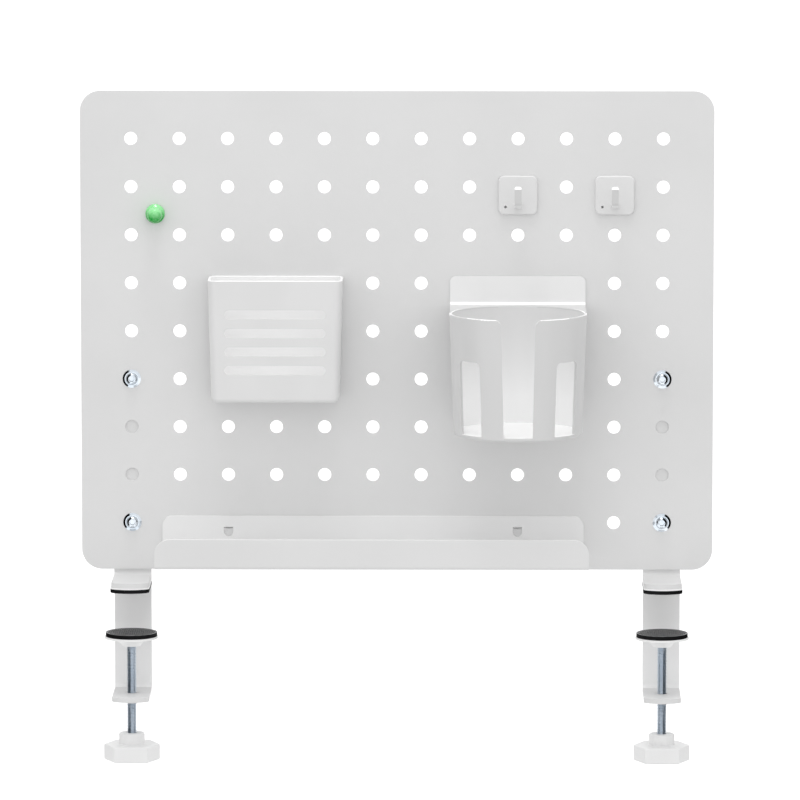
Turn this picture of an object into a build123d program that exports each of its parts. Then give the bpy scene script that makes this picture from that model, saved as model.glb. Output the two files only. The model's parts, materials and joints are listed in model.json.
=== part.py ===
from build123d import *
import os
from math import cos, radians, sin, sqrt

# A sheet-steel pegboard that stands at the back edge of a desk on two screw clamps. A pen box, a
# cup holder, a tray and two hooks hang in its peg holes, and a magnetic pin sits on its face.
# Millimetres. +X is to the right, +Y away from the person at the desk, +Z up. Z = 0 is the top of
# the desk, Y = 0 is the desk's rear edge, and X = 0 is the middle of the board.

os.makedirs("parts", exist_ok=True)

# ---- Board ----
HOLE_PITCH = 40.0
HOLE_COLUMNS = 12
HOLE_ROWS = 9
HOLE_RADIUS = 5.4
BOARD_SIDE_MARGIN = 42.0  # edge of the board to the first column of holes
BOARD_END_MARGIN = 39.5  # edge of the board to the first row of holes
BOARD_THICKNESS = 1.5
BOARD_CORNER_RADIUS = 17.0
BOARD_LIFT = 12.5  # lower edge of the board above the desk

# ---- Clamps, the same on the left and on the right ----
STRIP_WIDTH = 30.8
STRIP_STEEL = 4.0
STRIP_BEND_RADIUS = 3.0  # inside of the bend
STRIP_CORNER_RADIUS = 6.0
STRIP_OVERRUN = 20.0  # steel above the upper bolt
UPPER_BOLT_ROW = 6
LOWER_BOLT_ROW = 9
UPPER_JAW_DEPTH = 62.0  # desk's rear edge to the front of the jaw
LOWER_JAW_DEPTH = 60.0
JAW_CROWN = 6.0  # how far the middle of a jaw's front stands out
JAW_CORNER_RADIUS = 5.0
JAW_OPENING = 87.5  # rubber to the lower jaw
LINER_THICKNESS = 1.2
LINER_OVERHANG = 0.7
JAW_RUBBER = 3.2
JAW_RUBBER_ROUND = 1.0
BEND_CLEARANCE = 1.0

# ---- Board bolts ----
BOLT_RADIUS = 3.0
BOLT_HEAD_RADIUS = 5.1
BOLT_HEAD_HEIGHT = 3.3
BOLT_HEAD_RIM = 0.9
BOLT_CREST_RADIUS = 2.6  # flat round the socket
BOLT_SOCKET_FLATS = 4.0
BOLT_SOCKET_DEPTH = 2.0
BOLT_HOLE_CLEARANCE = 0.3
BOLT_THREAD_CLEARANCE = 0.05
BOLT_END = 1.5  # thread that stands out of the nut
WASHER_RADIUS = 8.1
WASHER_THICKNESS = 1.2
NUT_FLATS = 10.0
NUT_HEIGHT = 5.0
NUT_FLANGE_RADIUS = 7.0
NUT_FLANGE_THICKNESS = 1.2

# ---- Clamp screw ----
SCREW_RADIUS = 4.0
SCREW_REACH = 30.0  # desk's rear edge to the screw's axis
SCREW_CLEARANCE = 0.05
SCREW_END_CHAMFER = 0.8
WELD_NUT_RADIUS = 6.8
WELD_NUT_LENGTH = 4.6
WELD_NUT_SPIGOT_RADIUS = 5.6
WELD_NUT_CHAMFER = 1.6
SPIGOT_CLEARANCE = 0.05

# ---- Pad on top of the screw ----
PAD_DROP = 36.5  # jaw rubber to the pad's rubber, as photographed
PAD_RADIUS = 21.3
PAD_RUBBER = 3.4
PAD_RUBBER_ROUND = 0.8
CUP_RIM_RADIUS = 22.2
CUP_RIM_THICKNESS = 1.8
CUP_RIM_SLOPE = 0.9  # from the rim down to the dish
CUP_DISH_RADIUS = 13.6
CUP_DISH_CURVE = 16.4
CUP_FOOT_RADIUS = 7.6
CUP_DEPTH = 8.2
CUP_WEB = 2.0
SWIVEL_NECK_RADIUS = 3.0
SWIVEL_HEAD_RADIUS = 4.8
SWIVEL_HEAD_THICKNESS = 1.6
SWIVEL_CLEARANCE = 0.08
SWIVEL_PLAY = 0.3
SWIVEL_POCKET_RADIUS = 6.0

# ---- Knob under the screw ----
KNOB_DROP = 84.5  # pad's rubber to the top of the collar
COLLAR_RADIUS = 10.7
COLLAR_HEIGHT = 9.4
COLLAR_CHAMFER = 1.0
KNOB_HALF_WIDTH = 23.4
KNOB_FACE_HALF = 14.0
KNOB_HALF_DEPTH = 20.5
KNOB_HEIGHT = 13.4
KNOB_CORNER_RADIUS = 2.0
KNOB_EDGE_RADIUS = 1.3
KNOB_FLOOR = 3.0
KNOB_GRIP = 0.02

# ---- Hanging tabs, the same on everything that hangs ----
SEAT_GAP = 0.2  # back of a hung piece to the face of the board
TAB_SEAT = 0.2  # under a tab's neck, above the hole's edge
TAB_BEHIND = 0.5  # board's back to the turned-down leg
TAB_WIDTH = 7.4
TAB_DROP = 4.2  # how far the leg reaches below the hole's seat
MOULDED_TAB = 2.4
TAB_ROUND = 0.8

# ---- Pen box ----
BOX_COLUMN = 4
BOX_ROW = 4
BOX_WIDTH = 111.0
BOX_FOOT_WIDTH = 105.6
BOX_DEPTH = 40.0
BOX_FOOT_DEPTH = 38.0
BOX_HEIGHT = 101.5
BOX_RIM_RISE = 6.0  # rim above the row of holes that it hangs in
BOX_WALL = 2.0
BOX_FLOOR = 2.4
BOX_CORNER_RADIUS = 6.0
BOX_FOOT_ROUND = 3.6
BOX_RIM_ROUND = 0.7
BOX_SLOTS = 4
BOX_SLOT_LENGTH = 83.3
BOX_SLOT_HEIGHT = 7.7
BOX_SLOT_PITCH = 15.4
BOX_SLOT_DROP = 28.2  # rim to the middle of the first slot

# ---- Cup holder ----
HOLDER_COLUMN = 9
HOLDER_ROW = 4
HOLDER_RIM_RADIUS = 56.5
HOLDER_FOOT_RADIUS = 52.7
HOLDER_HEIGHT = 100.0
HOLDER_WALL = 2.2
HOLDER_GAP = 5.0  # front of the plate to the back of the cup's rim
HOLDER_WEB_FILLET = 2.5
HOLDER_FLOOR = 3.0
HOLDER_FOOT_ROUND = 2.0
HOLDER_RIM_ROUND = 0.9
HOLDER_PLATE_WIDTH = 112.0
HOLDER_PLATE_RISE = 6.3  # top of the plate above its row of holes
HOLDER_PLATE_TOP = 23.8  # top of the plate above the rim
HOLDER_PLATE_SKIRT = 14.0  # plate below the rim
HOLDER_PLATE_ROUND = 5.0
HOLDER_SLOT_TOP = 28.2
HOLDER_SLOT_FOOT = 23.6
HOLDER_SLOT_ROUND = 5.8
WINDOW_ANGLE = 47.4  # middle of a window, turned from the front
WINDOW_WIDTH = 24.0
WINDOW_HEIGHT = 61.0
WINDOW_ROUND = 4.0

# ---- Tray ----
TRAY_COLUMN = 6
TRAY_ROW = 9
TRAY_TAB_COLUMNS = 3  # from the tray's middle to each tab
TRAY_STEEL = 1.5
TRAY_BACK_WIDTH = 350.0
TRAY_FRONT_WIDTH = 356.6
TRAY_DEPTH = 78.0
TRAY_RIM_RISE = 4.6  # top of the back above its row of holes
TRAY_BACK_HEIGHT = 33.3
TRAY_LIP_HEIGHT = 25.2
TRAY_BACK_ROUND = 7.5
TRAY_LIP_ROUND = 12.5
TRAY_BEND_RADIUS = 1.5
TRAY_WINDOW_HEIGHT = 9.4

# ---- Hooks ----
HOOK_ROW = 2
LEFT_HOOK_COLUMN = 9
RIGHT_HOOK_COLUMN = 11
HOOK_PLATE = 32.4
HOOK_PLATE_THICKNESS = 3.0
HOOK_PLATE_DROP = 6.6  # hole to the middle of the plate
HOOK_PLATE_ROUND = 5.0
HOOK_EDGE_ROUND = 1.3
HOOK_STRIP_WIDTH = 5.8
HOOK_STRIP_THICKNESS = 2.6
HOOK_REACH = 20.0
HOOK_RISE = 18.9
HOOK_STRIP_DROP = 10.1  # middle of the plate to the strip's underside
HOOK_BEND_RADIUS = 3.2
HOOK_ROOT_RADIUS = 1.2
HOOK_TIP_ROUND = 1.9
HOOK_NAIL_RADIUS = 1.1
HOOK_NAIL_SIDE = 10.3
HOOK_NAIL_DROP = 9.7

# ---- Magnetic pin ----
PIN_COLUMN = 1.5  # halfway between two columns
PIN_ROW = 2.56
PIN_RADIUS = 8.0
PIN_FLANGE = 3.2
PIN_FLANGE_EDGE = 1.6
PIN_SHOULDER_RADIUS = 6.4
PIN_WAIST_START = 4.5
PIN_WAIST_RADIUS = 4.6
PIN_HEAD_RADIUS = 6.3
PIN_HEAD_LENGTH = 9.0
PIN_LENGTH = 19.0
MAGNET_RADIUS = 5.0
MAGNET_LENGTH = 4.0
MAGNET_CLEARANCE = 0.05

# ---- Places that follow from the sizes ----
BOARD_WIDTH = 2 * BOARD_SIDE_MARGIN + (HOLE_COLUMNS - 1) * HOLE_PITCH
BOARD_HEIGHT = 2 * BOARD_END_MARGIN + (HOLE_ROWS - 1) * HOLE_PITCH
BOARD_BACK = -STRIP_STEEL
BOARD_FRONT = BOARD_BACK - BOARD_THICKNESS
HUNG_BACK = BOARD_FRONT - SEAT_GAP
TAB_SEAT_DROP = sqrt(HOLE_RADIUS**2 - (TAB_WIDTH / 2) ** 2) - TAB_SEAT
UPPER_JAW_BOTTOM = JAW_RUBBER + LINER_THICKNESS
LOWER_JAW_BOTTOM = -JAW_OPENING - STRIP_STEEL


def column_x(column):
    """Middle of a column of holes, the first one on the left."""
    return (column - (HOLE_COLUMNS + 1) / 2) * HOLE_PITCH


def row_z(row):
    """Middle of a row of holes, the first one at the top."""
    return BOARD_LIFT + BOARD_END_MARGIN + (HOLE_ROWS - row) * HOLE_PITCH


def front_plane(x, y, z):
    """A plane that faces the person at the desk, with its own x to the right and y up."""
    return Plane(origin=(x, y, z), x_dir=(1, 0, 0), z_dir=(0, -1, 0))


def side_profile(points, x, width):
    """A closed outline in Y and Z, given a width along X that is centred on x."""
    outline = Plane.YZ * make_face(Polyline(*points, close=True))
    return Pos(x, 0, 0) * extrude(outline, width / 2, both=True)


def edges_along_x(solid, y, z):
    """The edge along X that is nearest to a place in Y and Z."""
    along = solid.edges().filter_by(Axis.X)
    return along.sort_by(lambda edge: (edge.center().Y - y) ** 2 + (edge.center().Z - z) ** 2)[0]


# ---- Board ----
def peg_panel():
    middle = BOARD_LIFT + BOARD_HEIGHT / 2
    plane = front_plane(0, BOARD_BACK, middle)
    sheet = RectangleRounded(BOARD_WIDTH, BOARD_HEIGHT, BOARD_CORNER_RADIUS)
    sheet -= GridLocations(HOLE_PITCH, HOLE_PITCH, HOLE_COLUMNS, HOLE_ROWS) * Circle(HOLE_RADIUS)
    return extrude(plane * sheet, BOARD_THICKNESS)


# ---- Clamp ----
def jaw_outline(x, depth, grow, back):
    """A jaw seen from above: straight sides and a crowned front with soft corners."""
    half = STRIP_WIDTH / 2 + grow
    front = -depth - grow
    shoulder = front + JAW_CROWN
    edge = Polyline((half, shoulder), (half, back), (-half, back), (-half, shoulder))
    crown = ThreePointArc((-half, shoulder), (0, front), (half, shoulder))
    outline = make_face(edge + crown)
    corners = outline.vertices().sort_by(Axis.Y)[:2]
    return Pos(x, 0) * fillet(corners, JAW_CORNER_RADIUS)


def jaw_slab(x, depth, grow, back, bottom, thickness):
    """A plate of the jaw's outline, from its bottom up."""
    return extrude(Plane.XY.offset(bottom) * jaw_outline(x, depth, grow, back), thickness)


def bolt_rows():
    return [row_z(UPPER_BOLT_ROW), row_z(LOWER_BOLT_ROW)]


def strip_top():
    return row_z(UPPER_BOLT_ROW) + STRIP_OVERRUN


def bent_strip(points, inner, outer, x, depth):
    """A flat strip bent once, with its jaw's outline, its two bolt holes and soft upper corners."""
    strip = side_profile(points, x, STRIP_WIDTH)
    strip = fillet(edges_along_x(strip, *inner), STRIP_BEND_RADIUS)
    strip = fillet(edges_along_x(strip, *outer), STRIP_BEND_RADIUS + STRIP_STEEL)
    bottom = strip.bounding_box().min.Z
    strip &= jaw_slab(x, depth, 0, 2 * STRIP_STEEL, bottom, strip_top() - bottom)
    upper = strip.edges().filter_by(Axis.Y).sort_by(Axis.Z)[-2:]
    strip = fillet(upper, STRIP_CORNER_RADIUS)
    for z in bolt_rows():
        plane = front_plane(x, 2 * STRIP_STEEL, z)
        strip -= extrude(plane * Circle(BOLT_RADIUS + BOLT_HOLE_CLEARANCE), 4 * STRIP_STEEL)
    return strip


def jaw_bracket(x):
    """Bolted behind the board, and bent forward over the desk as the upper jaw."""
    top = UPPER_JAW_BOTTOM + STRIP_STEEL
    points = [
        (0, UPPER_JAW_BOTTOM),
        (0, strip_top()),
        (-STRIP_STEEL, strip_top()),
        (-STRIP_STEEL, top),
        (-UPPER_JAW_DEPTH, top),
        (-UPPER_JAW_DEPTH, UPPER_JAW_BOTTOM),
    ]
    return bent_strip(points, (-STRIP_STEEL, top), (0, UPPER_JAW_BOTTOM), x, UPPER_JAW_DEPTH)


def clamp_arm(x):
    """Bolted behind the bracket, down the desk's rear edge and forward as the lower jaw."""
    points = [
        (0, -JAW_OPENING),
        (0, strip_top()),
        (STRIP_STEEL, strip_top()),
        (STRIP_STEEL, LOWER_JAW_BOTTOM),
        (-LOWER_JAW_DEPTH, LOWER_JAW_BOTTOM),
        (-LOWER_JAW_DEPTH, -JAW_OPENING),
    ]
    arm = bent_strip(points, (0, -JAW_OPENING), (STRIP_STEEL, LOWER_JAW_BOTTOM), x, LOWER_JAW_DEPTH)
    hole = Cylinder(WELD_NUT_SPIGOT_RADIUS + SPIGOT_CLEARANCE, 4 * STRIP_STEEL)
    return arm - Pos(x, -SCREW_REACH, LOWER_JAW_BOTTOM) * hole


def jaw_liner(x):
    """The pale plastic layer under the upper jaw."""
    back = -STRIP_BEND_RADIUS - STRIP_STEEL - BEND_CLEARANCE
    return jaw_slab(x, UPPER_JAW_DEPTH, LINER_OVERHANG, back, JAW_RUBBER, LINER_THICKNESS)


def jaw_rubber(x):
    """The black layer that rests on the desk."""
    back = -STRIP_BEND_RADIUS - STRIP_STEEL - BEND_CLEARANCE
    rubber = jaw_slab(x, UPPER_JAW_DEPTH, LINER_OVERHANG, back, 0, JAW_RUBBER)
    return fillet(rubber.edges().group_by(Axis.Z)[0], JAW_RUBBER_ROUND)


# ---- Board bolts ----
def board_bolt(x, z):
    """A button-head bolt from the board's front, with a hexagon socket."""
    stack = WASHER_THICKNESS + BOARD_THICKNESS + 2 * STRIP_STEEL + NUT_HEIGHT + BOLT_END
    side = Polyline(
        (0, -stack),
        (BOLT_RADIUS, -stack),
        (BOLT_RADIUS, 0),
        (BOLT_HEAD_RADIUS, 0),
        (BOLT_HEAD_RADIUS, BOLT_HEAD_RIM),
    )
    crest = (BOLT_CREST_RADIUS, BOLT_HEAD_HEIGHT)
    dome = RadiusArc(side @ 1, crest, -BOLT_HEAD_RADIUS)
    close = Polyline(crest, (0, BOLT_HEAD_HEIGHT), (0, -stack))
    bolt = revolve(Plane.XZ * make_face(side + dome + close), Axis.Z)
    socket = RegularPolygon(BOLT_SOCKET_FLATS / 2, 6, major_radius=False)
    bolt -= extrude(Plane.XY.offset(BOLT_HEAD_HEIGHT) * socket, -BOLT_SOCKET_DEPTH)
    return front_plane(x, BOARD_FRONT - WASHER_THICKNESS, z) * bolt


def washer(x, z):
    ring = Circle(WASHER_RADIUS) - Circle(BOLT_RADIUS + BOLT_HOLE_CLEARANCE)
    return front_plane(x, BOARD_FRONT, z) * extrude(ring, WASHER_THICKNESS)


def flange_nut(x, z):
    """A hexagon nut with its washer face against the back of the clamp arm."""
    nut = extrude(RegularPolygon(NUT_FLATS / 2, 6, major_radius=False), NUT_HEIGHT)
    nut += extrude(Circle(NUT_FLANGE_RADIUS), NUT_FLANGE_THICKNESS)
    nut -= extrude(Circle(BOLT_RADIUS + BOLT_THREAD_CLEARANCE), NUT_HEIGHT)
    return Plane(origin=(x, STRIP_STEEL, z), x_dir=(-1, 0, 0), z_dir=(0, 1, 0)) * nut


# ---- Screw, pad and knob ----
def turned(points, x):
    """An outline of radii and heights, turned about the clamp screw's axis."""
    face = Plane.XZ * make_face(Polyline(*points, close=True))
    return Pos(x, -SCREW_REACH, 0) * revolve(face, Axis.Z)


def weld_nut(x):
    """The threaded bush under the lower jaw, with a spigot up through it."""
    foot = LOWER_JAW_BOTTOM - WELD_NUT_LENGTH
    bore = SCREW_RADIUS + SCREW_CLEARANCE
    points = [
        (bore, foot),
        (WELD_NUT_RADIUS - WELD_NUT_CHAMFER, foot),
        (WELD_NUT_RADIUS, foot + WELD_NUT_CHAMFER),
        (WELD_NUT_RADIUS, LOWER_JAW_BOTTOM),
        (WELD_NUT_SPIGOT_RADIUS, LOWER_JAW_BOTTOM),
        (WELD_NUT_SPIGOT_RADIUS, -JAW_OPENING),
        (bore, -JAW_OPENING),
    ]
    return turned(points, x)


PAD_RUBBER_BOTTOM = -PAD_DROP - PAD_RUBBER
CUP_BOTTOM = PAD_RUBBER_BOTTOM - CUP_DEPTH
POCKET_FLOOR = CUP_BOTTOM + CUP_WEB


def pad_rubber(x):
    disc = Cylinder(PAD_RADIUS, PAD_RUBBER, align=(Align.CENTER, Align.CENTER, Align.MIN))
    disc = fillet(disc.edges().group_by(Axis.Z)[-1], PAD_RUBBER_ROUND)
    return Pos(x, -SCREW_REACH, PAD_RUBBER_BOTTOM) * disc


def pad_cup(x):
    """A dished disc under the rubber, with a pocket that holds the screw's riveted head."""
    rim_bottom = PAD_RUBBER_BOTTOM - CUP_RIM_THICKNESS
    neck = SWIVEL_NECK_RADIUS + SWIVEL_CLEARANCE
    shell = Polyline(
        (neck, POCKET_FLOOR),
        (SWIVEL_POCKET_RADIUS, POCKET_FLOOR),
        (SWIVEL_POCKET_RADIUS, PAD_RUBBER_BOTTOM),
        (CUP_RIM_RADIUS, PAD_RUBBER_BOTTOM),
        (CUP_RIM_RADIUS, rim_bottom),
        (CUP_DISH_RADIUS, rim_bottom - CUP_RIM_SLOPE),
    )
    dish = RadiusArc(shell @ 1, (CUP_FOOT_RADIUS, CUP_BOTTOM), -CUP_DISH_CURVE)
    close = Polyline((CUP_FOOT_RADIUS, CUP_BOTTOM), (neck, CUP_BOTTOM), (neck, POCKET_FLOOR))
    face = Plane.XZ * make_face(shell + dish + close)
    return Pos(x, -SCREW_REACH, 0) * revolve(face, Axis.Z)


COLLAR_TOP = -PAD_DROP - KNOB_DROP
KNOB_TOP = COLLAR_TOP - COLLAR_HEIGHT
KNOB_BOTTOM = KNOB_TOP - KNOB_HEIGHT


def clamp_screw(x):
    """A threaded rod, with a neck and a riveted head at the top that turn in the pad's pocket."""
    shoulder = CUP_BOTTOM - SWIVEL_PLAY
    head = POCKET_FLOOR + SWIVEL_PLAY
    end = KNOB_BOTTOM + KNOB_FLOOR
    points = [
        (0, end),
        (SCREW_RADIUS - SCREW_END_CHAMFER, end),
        (SCREW_RADIUS, end + SCREW_END_CHAMFER),
        (SCREW_RADIUS, shoulder),
        (SWIVEL_NECK_RADIUS, shoulder),
        (SWIVEL_NECK_RADIUS, head),
        (SWIVEL_HEAD_RADIUS, head),
        (SWIVEL_HEAD_RADIUS, head + SWIVEL_HEAD_THICKNESS),
        (0, head + SWIVEL_HEAD_THICKNESS),
    ]
    return turned(points, x)


def knob(x):
    """A six-sided hand knob, flatter than a regular hexagon, with a round collar."""
    corners = [
        (-KNOB_FACE_HALF, -KNOB_HALF_DEPTH),
        (KNOB_FACE_HALF, -KNOB_HALF_DEPTH),
        (KNOB_HALF_WIDTH, 0),
        (KNOB_FACE_HALF, KNOB_HALF_DEPTH),
        (-KNOB_FACE_HALF, KNOB_HALF_DEPTH),
        (-KNOB_HALF_WIDTH, 0),
    ]
    outline = make_face(Polyline(*corners, close=True))
    outline = fillet(outline.vertices(), KNOB_CORNER_RADIUS)
    grip = extrude(outline, KNOB_HEIGHT)
    rims = grip.edges().group_by(Axis.Z)
    grip = fillet(rims[0] + rims[-1], KNOB_EDGE_RADIUS)
    collar = Cylinder(COLLAR_RADIUS, COLLAR_HEIGHT, align=(Align.CENTER, Align.CENTER, Align.MIN))
    collar = chamfer(collar.edges().group_by(Axis.Z)[-1], COLLAR_CHAMFER)
    grip += Pos(0, 0, KNOB_HEIGHT) * collar
    bore = extrude(Circle(SCREW_RADIUS + KNOB_GRIP), KNOB_HEIGHT + COLLAR_HEIGHT)
    grip -= Pos(0, 0, KNOB_FLOOR) * bore
    return Pos(x, -SCREW_REACH, KNOB_BOTTOM) * grip


# ---- Hanging tabs ----
def hanging_tab(x, row, root, thickness):
    """A neck through a peg hole and a leg turned down behind the board. It starts at y = root."""
    seat = row_z(row) - TAB_SEAT_DROP
    leg_front = BOARD_BACK + TAB_BEHIND
    leg_back = leg_front + thickness
    top = seat + thickness
    points = [
        (root, seat),
        (leg_front, seat),
        (leg_front, seat - TAB_DROP),
        (leg_back, seat - TAB_DROP),
        (leg_back, top),
        (root, top),
    ]
    tab = side_profile(points, x, TAB_WIDTH)
    return fillet(edges_along_x(tab, leg_back, top), TAB_ROUND)


# ---- Pen box ----
def pen_box():
    x = column_x(BOX_COLUMN)
    rim = row_z(BOX_ROW) + BOX_RIM_RISE

    def section(drop, inset):
        """The box's outline at a depth below its rim. It tapers, with its back upright."""
        share = drop / BOX_HEIGHT
        width = BOX_WIDTH + (BOX_FOOT_WIDTH - BOX_WIDTH) * share - 2 * inset
        depth = BOX_DEPTH + (BOX_FOOT_DEPTH - BOX_DEPTH) * share
        plane = Plane(origin=(x, HUNG_BACK - depth / 2, rim - drop))
        return plane * RectangleRounded(width, depth - 2 * inset, BOX_CORNER_RADIUS - inset)

    box = loft([section(0, 0), section(BOX_HEIGHT, 0)])
    box = fillet(box.edges().group_by(Axis.Z)[0], BOX_FOOT_ROUND)
    box -= loft([section(0, BOX_WALL), section(BOX_HEIGHT - BOX_FLOOR, BOX_WALL)])
    box = fillet(box.edges().group_by(Axis.Z)[-1], BOX_RIM_ROUND)
    for index in range(BOX_SLOTS):
        z = rim - BOX_SLOT_DROP - index * BOX_SLOT_PITCH
        plane = front_plane(x, HUNG_BACK - BOX_DEPTH / 2, z)
        box -= extrude(plane * SlotOverall(BOX_SLOT_LENGTH, BOX_SLOT_HEIGHT), BOX_DEPTH)
    for column in (BOX_COLUMN - 1, BOX_COLUMN + 1):
        box += hanging_tab(column_x(column), BOX_ROW, HUNG_BACK - BOX_WALL / 2, MOULDED_TAB)
    return box


# ---- Cup holder ----
def holder_cup(floor_to_rim):
    """The tapered cup, turned about its own axis, with its floor at z = 0."""
    slope = (HOLDER_RIM_RADIUS - HOLDER_FOOT_RADIUS) / HOLDER_HEIGHT
    inner_foot = HOLDER_FOOT_RADIUS + slope * HOLDER_FLOOR - HOLDER_WALL
    outline = make_face(
        Polyline(
            (0, 0),
            (HOLDER_FOOT_RADIUS, 0),
            (HOLDER_RIM_RADIUS, floor_to_rim),
            (HOLDER_RIM_RADIUS - HOLDER_WALL, floor_to_rim),
            (inner_foot, HOLDER_FLOOR),
            (0, HOLDER_FLOOR),
            close=True,
        )
    )
    outline = fillet(outline.vertices().sort_by(Axis.Y)[-2:], HOLDER_RIM_ROUND)
    foot = outline.vertices().sort_by_distance((HOLDER_FOOT_RADIUS, 0, 0))[0]
    return revolve(Plane.XZ * fillet(foot, HOLDER_FOOT_ROUND), Axis.Z)


def front_slot(height):
    """The slot in the cup's front, wider towards the rim, which it meets in two soft corners."""
    above = 2 * HOLDER_SLOT_ROUND
    half_foot = HOLDER_SLOT_FOOT / 2
    half_top = HOLDER_SLOT_TOP / 2
    half_flare = HOLDER_RIM_RADIUS
    outline = make_face(
        Polyline(
            (-half_foot, HOLDER_FLOOR),
            (half_foot, HOLDER_FLOOR),
            (half_top, height),
            (half_flare, height),
            (half_flare, height + above),
            (-half_flare, height + above),
            (-half_flare, height),
            (-half_top, height),
            close=True,
        )
    )
    corners = outline.vertices().filter_by(lambda corner: abs(abs(corner.X) - half_top) < 0.01)
    outline = fillet(corners, HOLDER_SLOT_ROUND)
    return extrude(front_plane(0, 0, 0) * outline, 2 * HOLDER_RIM_RADIUS)


def side_window(side):
    """A window beside the slot, cut square to the wall down to the floor."""
    angle = radians(WINDOW_ANGLE)
    outward = (side * sin(angle), -cos(angle), 0)
    along = (cos(angle), side * sin(angle), 0)
    plane = Plane(origin=(0, 0, HOLDER_FLOOR), x_dir=along, z_dir=outward)
    window = Pos(0, WINDOW_HEIGHT / 2) * Rectangle(WINDOW_WIDTH, WINDOW_HEIGHT)
    window = fillet(window.vertices().sort_by(Axis.Y)[-2:], WINDOW_ROUND)
    inner = HOLDER_FOOT_RADIUS / 2
    return extrude(plane.offset(inner) * window, HOLDER_RIM_RADIUS)


def cup_holder():
    x = column_x(HOLDER_COLUMN)
    plate_top = row_z(HOLDER_ROW) + HOLDER_PLATE_RISE
    rim = plate_top - HOLDER_PLATE_TOP
    reach = HOLDER_WALL + HOLDER_GAP + HOLDER_RIM_RADIUS
    axis_y = HUNG_BACK - reach
    cup = holder_cup(HOLDER_HEIGHT)
    web = Pos(0, reach / 2, HOLDER_HEIGHT - HOLDER_WALL / 2) * Box(HOLDER_PLATE_WIDTH, reach, HOLDER_WALL)
    web -= Cylinder(HOLDER_RIM_RADIUS - HOLDER_WALL / 2, 4 * HOLDER_HEIGHT)
    cup += web
    cup -= front_slot(HOLDER_HEIGHT)
    for side in (-1, 1):
        cup -= side_window(side)
    holder = Pos(x, axis_y, rim - HOLDER_HEIGHT) * cup
    height = HOLDER_PLATE_TOP + HOLDER_PLATE_SKIRT
    plane = front_plane(x, HUNG_BACK, plate_top - height / 2)
    plate = RectangleRounded(HOLDER_PLATE_WIDTH, height, HOLDER_PLATE_ROUND)
    holder += extrude(plane * plate, HOLDER_WALL)
    for z in (rim, rim - HOLDER_WALL):
        holder = fillet(edges_along_x(holder, HUNG_BACK - HOLDER_WALL, z), HOLDER_WEB_FILLET)
    for column in (HOLDER_COLUMN - 1, HOLDER_COLUMN + 1):
        holder += hanging_tab(column_x(column), HOLDER_ROW, HUNG_BACK - HOLDER_WALL / 2, MOULDED_TAB)
    return holder


# ---- Tray ----
def tray():
    """One sheet bent twice: an upright back, a floor that widens forward and a front lip."""
    x = column_x(TRAY_COLUMN)
    back_top = row_z(TRAY_ROW) + TRAY_RIM_RISE
    bottom = back_top - TRAY_BACK_HEIGHT
    back = HUNG_BACK
    front = back - TRAY_DEPTH
    lip_top = bottom + TRAY_LIP_HEIGHT
    points = [
        (back, bottom),
        (back, back_top),
        (back - TRAY_STEEL, back_top),
        (back - TRAY_STEEL, bottom + TRAY_STEEL),
        (front + TRAY_STEEL, bottom + TRAY_STEEL),
        (front + TRAY_STEEL, lip_top),
        (front, lip_top),
        (front, bottom),
    ]
    sheet = side_profile(points, x, TRAY_FRONT_WIDTH)
    for y, z, radius in [
        (back, bottom, TRAY_BEND_RADIUS + TRAY_STEEL),
        (front, bottom, TRAY_BEND_RADIUS + TRAY_STEEL),
        (back - TRAY_STEEL, bottom + TRAY_STEEL, TRAY_BEND_RADIUS),
        (front + TRAY_STEEL, bottom + TRAY_STEEL, TRAY_BEND_RADIUS),
    ]:
        sheet = fillet(edges_along_x(sheet, y, z), radius)
    half_back = TRAY_BACK_WIDTH / 2
    half_front = TRAY_FRONT_WIDTH / 2
    plan = make_face(
        Polyline(
            (half_back, back),
            (-half_back, back),
            (-half_front, front),
            (half_front, front),
            close=True,
        )
    )
    height = back_top - bottom
    sheet &= extrude(Plane.XY.offset(bottom) * Pos(x, 0) * plan, height)
    for side in (-1, 1):
        back_corner = (x + side * half_back, back - TRAY_STEEL / 2, back_top)
        sheet = fillet(sheet.edges().sort_by_distance(back_corner)[0], TRAY_BACK_ROUND)
        lip_corner = (x + side * half_front, front + TRAY_STEEL / 2, lip_top)
        sheet = fillet(sheet.edges().sort_by_distance(lip_corner)[0], TRAY_LIP_ROUND)
    for column in (TRAY_COLUMN - TRAY_TAB_COLUMNS, TRAY_COLUMN + TRAY_TAB_COLUMNS):
        tab_x = column_x(column)
        tab_top = row_z(TRAY_ROW) - TAB_SEAT_DROP + TRAY_STEEL
        sheet -= tab_window(tab_x, tab_top)
        sheet += hanging_tab(tab_x, TRAY_ROW, back - TRAY_STEEL, TRAY_STEEL)
    return sheet


def tab_window(x, top):
    """The round-bottomed window that a tab leaves where it is cut and bent out of the sheet."""
    half = TAB_WIDTH / 2
    sides = Polyline((-half, half), (-half, TRAY_WINDOW_HEIGHT), (half, TRAY_WINDOW_HEIGHT), (half, half))
    outline = make_face(sides + ThreePointArc((half, half), (0, 0), (-half, half)))
    plane = front_plane(x, HUNG_BACK + TRAY_STEEL, top - TRAY_WINDOW_HEIGHT)
    return extrude(plane * outline, 3 * TRAY_STEEL)


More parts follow.
